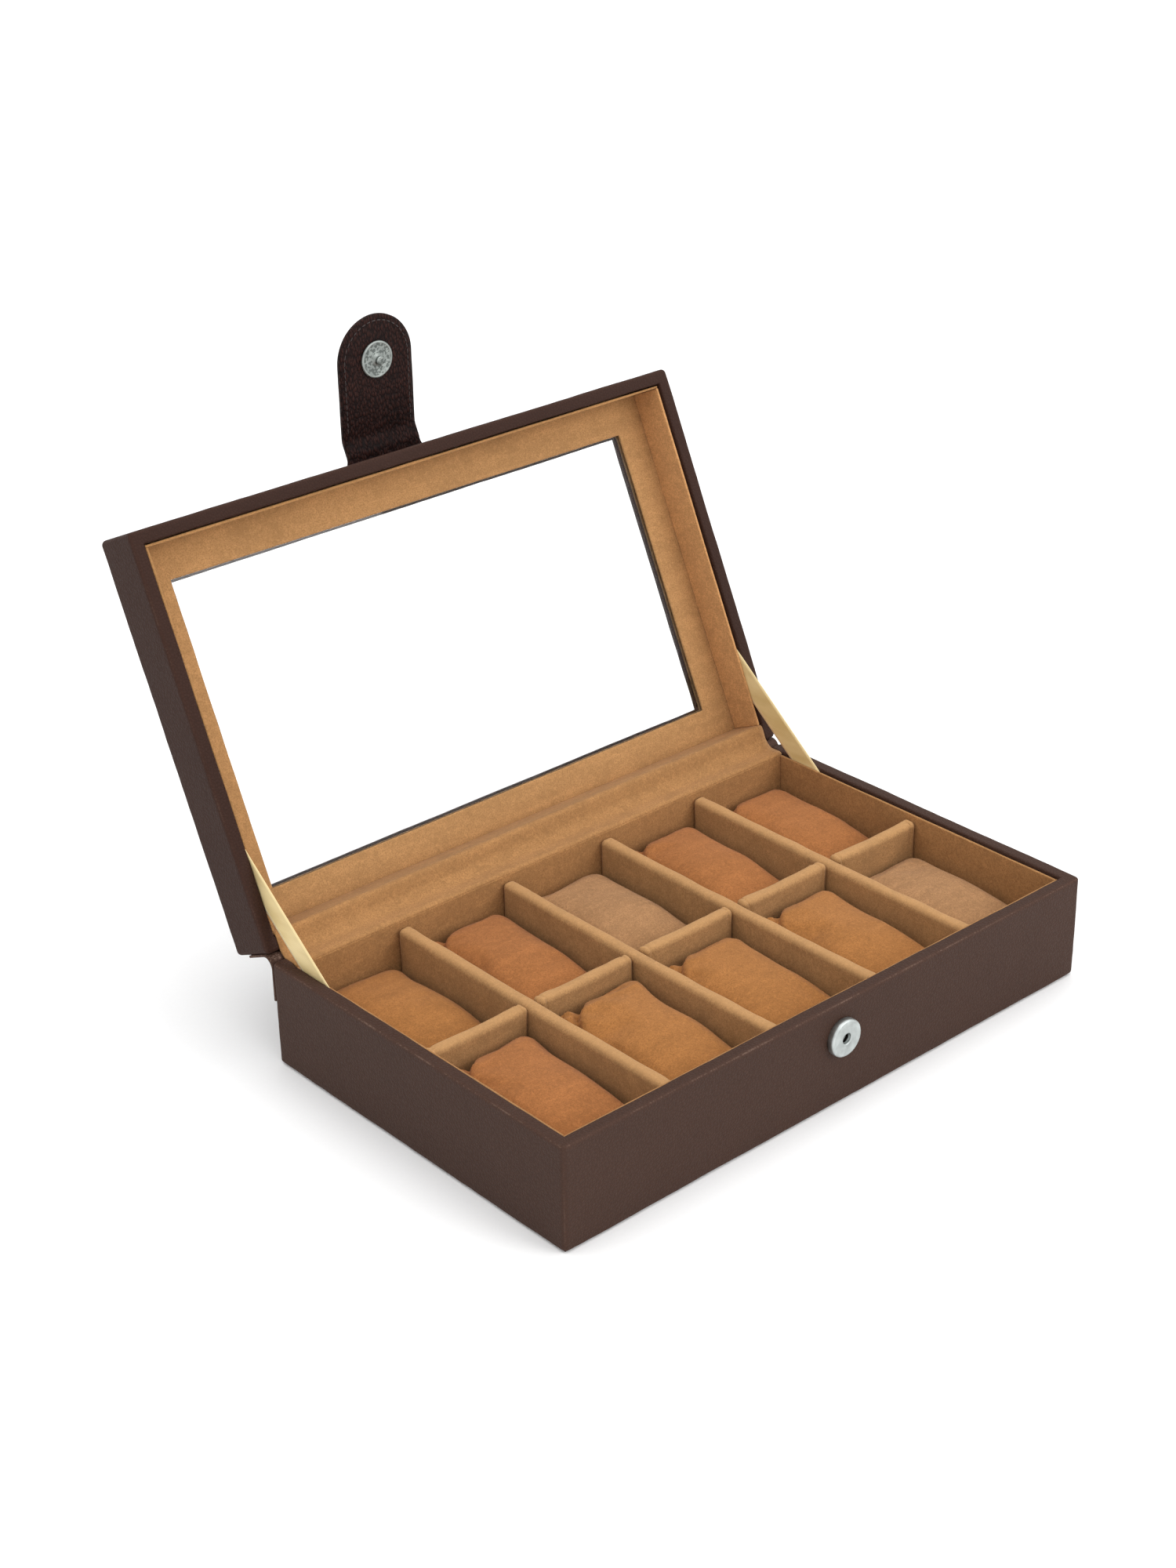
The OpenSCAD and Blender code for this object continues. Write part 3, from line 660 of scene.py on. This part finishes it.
# ---- Window -------------------------------------------------------------------------
# Clear float glass, dropped into the top board's rebate from below. The CAD
# pane keeps its shape.
glass = Finish("window_glass", Transmission_Weight=1.0, IOR=1.3, Specular_IOR_Level=0.3)
smear = glass.clouds(glass.stretch(glass.place(True), (1, 0.4, 1)), 30.0, 3)
glass_tint = glass.mix(smear, (0.985, 0.995, 0.99, 1), (1, 1, 1, 1))
pane = frame["nodes"]["window_glass"]
pane.data.materials.clear()
pane.data.materials.append(glass.done(glass_tint, glass.rise(smear, 0.6, 0.9) * 0.015))

# ---- Suede lining of the lid ---------------------------------------------------------
# A mat cut in one piece lies under the window, and four narrow cards stand on
# it round the sides. The mat is a paler suede, and the right card gets a paler
# copy of the lid suede as painted light, lifting the shade that card sits in.
lid_suede = suede("lid_suede", tone(168, 124, 80), shut_lid=True)
mat_suede = suede("mat_suede", tone(178, 134, 89), shut_lid=True)
# A paler copy of the lid suede for the right card: painted light in place of light that card
# misses.
painted_light_suede = suede("painted_light_suede", tone(200, 148, 98), shut_lid=True)
mat_lo, mat_hi = shut_box("mat_frame")
mat_set_back = 1.3 * mm
mat_window = (window[0] - mat_set_back, window[1] - mat_set_back,
              window[2] + mat_set_back, window[3] + mat_set_back)
mat_bm = block(mat_lo, mat_hi)
rings = []
for side in (1, -1):
    face = max(mat_bm.faces, key=lambda f: f.calc_center_median().z * side)
    bmesh.ops.inset_individual(mat_bm, faces=[face], thickness=5 * mm)
    for v in face.verts:
        v.co.x = mat_window[2] if v.co.x > 0 else mat_window[0]
        v.co.y = mat_window[3] if v.co.y > 0 else mat_window[1]
    rings += face.edges[:]
    bmesh.ops.delete(mat_bm, geom=[face], context="FACES_ONLY")
bmesh.ops.bridge_loops(mat_bm, edges=rings)
bmesh.ops.recalc_face_normals(mat_bm, faces=mat_bm.faces)
mat_edges = [e for e in mat_bm.edges if len(e.link_faces) == 2 and e.calc_face_angle() > 1]
round_over(mat_bm, mat_edges, card_edge_r, 3)
slice_up(mat_bm, card_step)
unevenness(mat_bm, height=0.18 * mm, size=0.025, seed=31)
finished(mat_bm, "mat_suede", "lid", mat_suede, ["mat_frame"], True)
for seed, (name, nap) in enumerate((
        ("lid_front_lining", lid_suede), ("lid_back_lining", lid_suede),
        ("lid_left_lining", lid_suede), ("lid_right_lining", painted_light_suede))):
    covered_card(name, *shut_box(name), nap, 40 + seed, "lid", True)

# ---- Cloth hinge -----------------------------------------------------------------------
# Outside, a leather spine is glued to both back faces. Inside, a suede strip is
# glued on both let-down back rims. Both bend in the bare gap between the rims.
def profile_strip(points, x, rows):
    """A strip along X that follows a line of points in Y and Z."""
    bm = bmesh.new()
    chain = [bm.verts.new((-x, y, z)) for y, z in points]
    for a, b in zip(chain, chain[1:]):
        bm.edges.new((a, b))
    made = bmesh.ops.extrude_edge_only(bm, edges=bm.edges[:])["geom"]
    moved = [g for g in made if isinstance(g, bmesh.types.BMVert)]
    bmesh.ops.translate(bm, vec=(2 * x, 0, 0), verts=moved)
    cut_at(bm, 0, [-x + 2 * x * k / rows for k in range(1, rows)])
    return bm


def opened(y, z):
    """Where a point of the shut lid stands when the lid is open."""
    spot = LID_OPEN @ Vector((0, y, z))
    return spot.y, spot.z


def smooth_line(points, rounds=2):
    """Cuts the corners of a line of points, twice over."""
    for _ in range(rounds):
        line = [points[0]]
        for (y0, z0), (y1, z1) in zip(points, points[1:]):
            line += [(0.75 * y0 + 0.25 * y1, 0.75 * z0 + 0.25 * z1),
                     (0.25 * y0 + 0.75 * y1, 0.25 * z0 + 0.75 * z1)]
        points = line + [points[-1]]
    return points


back_y = base_hi.y
spine_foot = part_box("hinge_spine")[0].z
spine_t = 1.0 * mm
spine_x = base_hi.x - 0.5 * mm
spine_y = back_y + spine_t / 2
spine_line = smooth_line([
    (spine_y, spine_foot), (spine_y, base_hi.z - 8 * mm), (spine_y, base_hi.z - 2 * mm),
    opened(spine_y, lid_lo.z + 2 * mm), opened(spine_y, lid_lo.z + 8 * mm),
    opened(spine_y, lid_lo.z + 17 * mm)])
spine_bm = profile_strip(spine_line, spine_x, rows=60)
unevenness(spine_bm, height=0.12 * mm, size=0.012, seed=50)
spine = finished(
    spine_bm, "hinge_spine_leather", None, base_hide, ["hinge_spine"])
thicken(spine, spine_t)
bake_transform(spine)

strip_t = 1.0 * mm
strip_y = lining_hi.y - 0.7 * mm
strip_base = base_hi.z - seat_drop + strip_t / 2
strip_lid = lid_lo.z + seat_drop - strip_t / 2
strip_line = smooth_line([
    (strip_y + 0.3 * mm, strip_base - 1.6 * mm), (strip_y, strip_base - 0.4 * mm),
    (strip_y + 1.4 * mm, strip_base + 0.2 * mm), (back_y - 3 * mm, strip_base),
    (back_y, strip_base), opened(back_y, strip_lid), opened(back_y - 3 * mm, strip_lid),
    opened(strip_y + 1.4 * mm, strip_lid - 0.2 * mm), opened(strip_y, strip_lid + 0.4 * mm),
    opened(strip_y + 0.3 * mm, strip_lid + 1.6 * mm)])
strip_bm = profile_strip(strip_line, seat_x - 0.2 * mm, rows=100)
unevenness(strip_bm, height=0.12 * mm, size=0.009, seed=51)
strip = finished(
    strip_bm, "hinge_strip_suede", None, lining_suede, ["hinge_lining"])
thicken(strip, strip_t)
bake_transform(strip)

# ---- Stay ribbons -------------------------------------------------------------------------
# Two satin ribbons, tucked and glued behind the side linings of base and lid,
# come taut when the lid is open. Cut 12.5 mm wide, with woven selvedges.
ribbon_w = 12.5 * mm
ribbon_t = 0.3 * mm
ribbon_cup = 0.14 * mm
tuck = 12 * mm
end_rise = 0.78
end_run = 0.62


def ribbon_satin(name, start, end, flat):
    """Satin: cross ribs, a glossy middle and paler selvedges."""
    f = Finish(name, Sheen_Weight=0.2, Specular_IOR_Level=0.5)
    place = f.place()
    along = (end - start).normalized()
    side = along.cross(Vector((1, 0, 0)))
    off = f.node("VectorMath", {"operation": "SUBTRACT"}, {0: place, 1: list(start / mm)})
    down = f.node("VectorMath", {"operation": "DOT_PRODUCT"}, {0: off, 1: list(along)}, "Value")
    out = f.node("VectorMath", {"operation": "DOT_PRODUCT"}, {0: off, 1: list(side)}, "Value")
    out = out.math("ABSOLUTE")
    rib = (down * (math.tau / 0.55)).math("SINE") * 0.5 + 0.5
    yarn = (out * (math.tau / 0.35)).math("SINE") * 0.5 + 0.5
    selvedge = f.rise(out, flat / mm / 2 - 1.7, flat / mm / 2 - 1.2)
    # Stretched streaks that mix the satin paler are a painted sheen.
    painted_sheen = f.clouds(f.stretch(place, (1, 0.3, 1)), 7.0, 3)
    colour = f.mix(f.rise(painted_sheen, 0.3, 0.7), tone(214, 188, 128), tone(232, 209, 152))
    colour = f.mix(selvedge * 0.8, colour, tone(246, 222, 166))
    colour = f.mix((1 - rib) * 0.18, colour, tone(176, 144, 84))
    return f.done(colour, 0.36 + selvedge * 0.2 + yarn * 0.1, rib * 0.6 + yarn * 0.3, 0.4, 0.06)


for side, name in ((-1, "stay_ribbon_left"), (1, "stay_ribbon_right")):
    lo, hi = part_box(name)
    rise = hi.z - lo.z - ribbon_w * end_rise
    slope = math.atan2(rise, hi.y - lo.y - ribbon_w * end_run)
    half_run = Vector((0, math.cos(slope), math.sin(slope)))
    spots = [v.co for v in frame["nodes"][name].data.vertices]
    reach = max((s - (lo + hi) / 2).dot(half_run) for s in spots)
    start = (lo + hi) / 2 - half_run * reach
    end = (lo + hi) / 2 + half_run * reach
    ribbon_bm = bmesh.new()
    bmesh.ops.create_grid(ribbon_bm, x_segments=8, y_segments=48, size=0.5)
    width_way = half_run.cross(Vector((1, 0, 0)))
    for v in ribbon_bm.verts:
        share, across = v.co.y + 0.5, v.co.x
        cup = ribbon_cup * math.sin(math.pi * share) * (4 * across * across - 1)
        v.co = start.lerp(end, share) + width_way * across * ribbon_w + Vector((side * cup, 0, 0))
    bmesh.ops.recalc_face_normals(ribbon_bm, faces=ribbon_bm.faces)
    satin = ribbon_satin(name + "_satin", start, end, ribbon_w)
    ribbon = finished(ribbon_bm, name + "_satin", None, satin, [name])
    thicken(ribbon, ribbon_t)
    (end - start).length
    start + half_run * tuck
    end - half_run * tuck
    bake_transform(ribbon)

# ---- Clasp flap ------------------------------------------------------------------------------
# Two leathers are sewn together over a stiff card. The root is glued and sewn
# on the lid's top, and the bare leather past the lid's edge folds to shut.
root_lo, root_hi = shut_box("flap_root")
flap_t = 2.4 * mm
flap_w = root_hi.x - root_lo.x
droop = math.radians(25)
fold_out = 11 * mm
fold_run = 3.0 * mm
root_len = root_hi.y - root_lo.y
snap_reach = 36.4 * mm
flap_len = fold_out + snap_reach + flap_w / 2
flare = 1.0 * mm
flap_cover = 0.4 * mm
tip_run = 1.2 * mm
inner_from = 4 * mm


def flap_leather():
    """Darker hide with a slanting grain."""
    f = Finish("flap_hide", Specular_IOR_Level=0.12)
    place = f.place(True)
    slant = f.stretch(place, (1.4, 0.55, 1), (0, 0, 0.7))
    drift = f.node("TexNoise", {}, {"Vector": slant, "Scale": 0.6}, "Color")
    wobble = f.node("VectorMath", {"operation": "ADD"}, {0: slant, 1: drift})
    pebble = f.rise(f.cells(wobble, 1.7), 0.0, 0.7, 1.0, 0.0)
    crease = f.rise(f.cells(wobble, 1.7, "DISTANCE_TO_EDGE"), 0.0, 0.2)
    pore = f.clouds(place, 0.35, 2)
    patch = f.clouds(place, 14.0, 4)
    colour = f.mix(f.rise(patch, 0.3, 0.7), tone(32, 17, 15), tone(44, 26, 23))
    colour = f.mix((1 - crease) * 0.7, colour, tone(10, 5, 5))
    # The pebble tops are mixed paler: a painted highlight on the grain.
    colour = f.mix(pebble * 0.45, colour, tone(74, 46, 40))
    height = pebble * 0.6 + crease * 0.4 + pore * 0.2
    return f.done(colour, 0.46 + pore * 0.16, height, 1.0, 0.4)


def flap_spot(x, s, up):
    """A flap point in shut-lid places: s along it from the lid's edge."""
    s0 = fold_out - fold_run / 2
    s1 = fold_out + fold_run / 2
    radius = fold_run / droop
    turn = min(max((s - s0) / radius, 0.0), droop)
    y = min(s, s0) + radius * math.sin(turn) + max(0.0, s - s1) * math.cos(droop)
    z = radius * (math.cos(turn) - 1) - max(0.0, s - s1) * math.sin(droop)
    return Vector((x, lid_lo.y - y - up * math.sin(turn),
                   root_hi.z - flap_t / 2 + z + up * math.cos(turn)))


def flap_half_width(s):
    """Half the flap's width at s, flared into the lid's edge and round-ended."""
    widest = flap_w / 2 + flap_cover
    past = s - (flap_len - flap_w / 2)
    if past > 0:
        return math.sqrt(max(0.0, widest ** 2 - past ** 2))
    near = max(0.0, 1 - abs(s) / (3.0 * mm))
    return widest + flare * near ** 2


flap_bm = bmesh.new()
bmesh.ops.create_grid(flap_bm, x_segments=24, y_segments=70, size=0.5)
bmesh.ops.solidify(flap_bm, geom=flap_bm.faces[:], thickness=0.01)
for v in flap_bm.verts:
    top = v.co.z > -0.005
    share = v.co.y + 0.5
    share = share if share < 0.5 else 0.5 + 0.5 * math.sin((share - 0.5) * math.pi)
    s = -root_len + share * (root_len + flap_len + flap_cover - 0.02 * mm)
    half = flap_half_width(s)
    edge = abs(v.co.x) * 2
    tip = max(0.0, min(1.0, (s - flap_len + tip_run) / tip_run))
    wall = flap_t / 2 * (1 - 0.30 * max(edge ** 24, tip ** 2))
    low = -wall * max(0.0, min(1.0, s / inner_from))
    v.co = flap_spot(v.co.x * 2 * half, s, wall if top else low)
flap_bm.normal_update()
bmesh.ops.recalc_face_normals(flap_bm, faces=flap_bm.faces)
unevenness(flap_bm, height=0.14 * mm, size=0.012, seed=60)
flap_hide = flap_leather()
flap = finished(flap_bm, "flap_leather", None, flap_hide,
                ["flap_root", "flap_bend", "flap_face", "flap_inner"], True)
flap_start = LID_OPEN @ flap_spot(0, 0, 0)
flap_end = LID_OPEN @ flap_spot(0, fold_out + fold_run / 2, 0)
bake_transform(flap)

# The thread is dark brown, one stitch every 3 mm, set in from the edge.
stitch_len = 2.1 * mm
stitch_gap = 3.0 * mm
stitch_r = 0.3 * mm
stitch_in = 2.4 * mm
stitch_from = 2 * mm
thread = Finish("brown_thread", Sheen_Weight=0.2)
thread_twist = thread.clouds(thread.stretch(thread.place(), (3, 1, 1)), 0.25, 3)
thread_colour = thread.mix(thread_twist, tone(30, 20, 18), tone(54, 39, 35))
brown_thread = thread.done(thread_colour, 0.6, thread_twist, 0.4, 0.05)


def stitch_line(face):
    """Stitches along the flap's edge on one face: up is 1, down is -1."""
    bm = bmesh.new()
    inset = flap_w / 2 - stitch_in
    straight = flap_len - flap_w / 2 + root_len - stitch_from
    arc = math.pi * inset
    total = 2 * straight + arc
    for k in range(int(total / stitch_gap) + 1):
        run = k * stitch_gap
        ends = []
        for spot in (run, min(run + stitch_len, total)):
            if spot < straight:
                x, s = -inset, spot - root_len + stitch_from
            elif spot < straight + arc:
                a = (spot - straight) / inset
                x, s = -inset * math.cos(a), flap_len - flap_w / 2 + inset * math.sin(a)
            else:
                x, s = inset, flap_len - flap_w / 2 - (spot - straight - arc)
            ends.append((x, s))
        if face < 0 and min(e[1] for e in ends) < fold_out + stitch_from:
            continue
        a, b = (flap_spot(x, s, face * (flap_t / 2 + 0.02 * mm)) for x, s in ends)
        made = bmesh.ops.create_icosphere(bm, subdivisions=1, radius=1)["verts"]
        way = (b - a).to_track_quat("Z", "Y").to_matrix().to_4x4()
        size = Matrix.Diagonal((stitch_r, stitch_r, (b - a).length / 2 + 0.2 * mm, 1))
        bmesh.ops.transform(bm, matrix=Matrix.Translation((a + b) / 2) @ way @ size, verts=made)
    return bm


for face, name in ((-1, "flap_inner_thread"), (1, "flap_outer_thread")):
    stitches = finished(stitch_line(face), name, None, brown_thread, (), True)
    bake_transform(stitches)

# The male half of the snap: a nickel disc and post on the flap's inner face,
# with its prongs bent over a washer between the leathers.
stud_outline = [
    (0, 0.0), (8.7, 0.0), (9.0, 0.25), (9.0, 0.8), (8.75, 1.1), (8.3, 1.2), (7.9, 1.12),
    (7.6, 1.0), (3.2, 1.0), (2.9, 1.1), (2.3, 1.25), (1.75, 1.5), (1.7, 2.3), (2.15, 2.9),
    (2.2, 3.4), (1.95, 3.75), (1.2, 3.8), (0.6, 3.65), (0, 3.6)]
stud_middle = LID_OPEN @ flap_spot(0, fold_out + snap_reach, -flap_t / 2)
stud_out = (LID_OPEN @ flap_spot(0, fold_out + snap_reach, -flap_t) - stud_middle).normalized()
stud_bm = turned(stud_outline, stud_middle, stud_out.to_track_quat("Z", "Y").to_matrix())
stud_nickel = nickel("stud_nickel", stud_middle, tone(158, 164, 160), stipple=1.0, well=0.0)
finished(stud_bm, "stud_disc", "clasp_flap", stud_nickel, ["snap_stud"])

# ---- Pillows -----------------------------------------------------------------------------------
# Ten suede bags sewn along their ends and stuffed, each pressed into its slot.
# They are blown up as cloth, with the sewn end folds held in.
pillow_cap = 6 * mm
pillow_step = 2.6 * mm
pillow_edge = 10.0 * mm
knot_inset = 13.0 * mm
knot_half = 1.6 * mm
knot_depth = 5 * mm
gather_reach = 20 * mm
gather_depth = 0.7 * mm
gather_turns = 14
ear_spread = 0.07
side_waist = 1.4 * mm
end_waist = 0.4 * mm
pillow_foot = 3 * mm
slot_clear = 0.6 * mm
rust = suede("rust_suede", tone(160, 104, 62))
honey = suede("honey_suede", tone(160, 108, 62))
sand = suede("sand_suede", tone(164, 123, 86))

# Each pillow: suede, height of its back edge, front edge, crown and sides above
# the floor in millimetres, how far its back corners stand up, left and right,
# and how hard its left back corner is pinched into a knot.
pillow_shapes = {
    "pillow_front_1": (rust, 41, 32, 41, 35, 2.0, 0.5, 1.0),
    "pillow_front_2": (honey, 43, 33, 42, 36, 2.0, 2.5, 1.0),
    "pillow_front_3": (honey, 41, 32, 41, 35, 1.5, 1.0, 0.7),
    "pillow_front_4": (honey, 41, 32, 41, 35, 1.5, 1.0, 0.7),
    "pillow_front_5": (sand, 35, 29, 37, 31, 0.0, 0.5, 0.0),
    "pillow_back_1": (honey, 34, 29, 38, 31, 0.0, 0.5, 0.0),
    "pillow_back_2": (rust, 38, 30, 40, 33, 2.0, 0.5, 0.8),
    "pillow_back_3": (sand, 36, 30, 39, 32, 0.0, 0.5, 0.0),
    "pillow_back_4": (rust, 39, 30, 41, 33, 1.5, 0.5, 0.6),
    "pillow_back_5": (rust, 38, 30, 40, 33, 0.0, 0.5, 0.4)}


def knot_pull(spot, lo, hi):
    """How near a point is to the crease across the left back corner."""
    across = ((spot.x - lo.x) + (hi.y - spot.y)) / math.sqrt(2)
    return math.exp(-((across - knot_inset) / knot_half) ** 2)


def pillow_bag(lo, hi, seed, back, front, crown, side, ear_left, ear_right, knot):
    """The stuffed bag before it is blown up, in place in its slot."""
    bm = soft_block(lo, hi, pillow_edge, pillow_step)
    middle, half = (lo + hi) / 2, (hi - lo) / 2
    for v in bm.verts:
        u, w = (v.co.x - middle.x) / half.x, (v.co.y - middle.y) / half.y
        end = back if w > 0 else front
        top = crown + (end - crown) * abs(w) ** 1.6
        top += (side - crown) * abs(u) ** 3 * (1 - abs(w) ** 3)
        for at, ear in ((-1, ear_left), (1, ear_right)):
            top += ear * math.exp(-((u - at) ** 2 + (w - 1) ** 2) / ear_spread)
        share = (v.co.z - lo.z) / (hi.z - lo.z)
        v.co.z = lo.z + (top * mm - lo.z) * share
        v.co.x -= side_waist * u * (1 - w * w) * share
        v.co.y -= end_waist * w * (1 - u * u) * share
    unevenness(bm, height=0.6 * mm, size=0.02, seed=seed)
    bm.normal_update()
    for v in bm.verts:
        if v.co.z > middle.z:
            out_x, out_y = v.co.x - lo.x, hi.y - v.co.y
            near = math.exp(-(out_x ** 2 + out_y ** 2) / gather_reach ** 2)
            gather = gather_depth * near * math.sin(math.atan2(out_y, out_x) * gather_turns)
            v.co += v.normal * knot * (gather - knot_depth * knot_pull(v.co, lo, hi))
    return bm


bags = []
for seed, (name, (hide, *shape)) in enumerate(pillow_shapes.items()):
    lo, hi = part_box(name)
    bag_bm = pillow_bag(lo, hi, 70 + 3 * seed, *shape)
    bag = finished(bag_bm, name + "_bag", name + "_body", hide, [name])
    bags.append((bag, lo, hi, shape[-1]))

resting = {}
for bag, lo, hi, knot in bags:
    resting[bag.name] = [v.co.copy() for v in bag.data.vertices]
    held = bag.vertex_groups.new(name="sewn")
    for v in bag.data.vertices:
        if v.co.z < lo.z + pillow_foot or knot * knot_pull(v.co, lo, hi) > 0.35:
            held.add([v.index], 1.0, "REPLACE")
    cloth = bag.modifiers.new("blow_up", "CLOTH")
    cloth.settings.quality = 6
    cloth.settings.mass = 0.15
    cloth.settings.tension_stiffness = 12
    cloth.settings.compression_stiffness = 12
    cloth.settings.shear_stiffness = 6
    cloth.settings.bending_stiffness = 1.2
    cloth.settings.use_pressure = True
    cloth.settings.uniform_pressure_force = 4
    cloth.settings.shrink_min = -0.03
    cloth.settings.vertex_group_mass = "sewn"
    cloth.settings.effector_weights.gravity = 0
    cloth.collision_settings.use_collision = False
for step in range(1, 21):
    bpy.context.scene.frame_set(step)
graph = bpy.context.evaluated_depsgraph_get()
for bag, lo, hi, knot in bags:
    blown = [v.co.copy() for v in bag.evaluated_get(graph).data.vertices]
    bag.modifiers.clear()
    bag.vertex_groups.clear()
    for v, now, was in zip(bag.data.vertices, blown, resting[bag.name]):
        move = now - was
        if move.length > pillow_cap:
            move *= pillow_cap / move.length
        v.co = was + move
bpy.context.scene.frame_set(1)


def held_in(value, low, high, soft):
    """Presses a value back softly as it nears either limit."""
    middle, half = (low + high) / 2, (high - low) / 2
    off = (value - middle) / half
    size = abs(off)
    edge = 1 - soft
    if size > edge:
        size = edge + soft * math.tanh((size - edge) / soft)
    return middle + math.copysign(size, off) * half


for bag, lo, hi, knot in bags:
    for v in bag.data.vertices:
        v.co.x = held_in(v.co.x, lo.x - slot_clear, hi.x + slot_clear, soft=0.12)
        v.co.y = held_in(v.co.y, lo.y - slot_clear, hi.y + slot_clear, soft=0.06)
        v.co.z = max(v.co.z, lo.z)
    rounder = bag.modifiers.new("rounder", "SUBSURF")
    rounder.levels = 1
    rounder.render_levels = 1
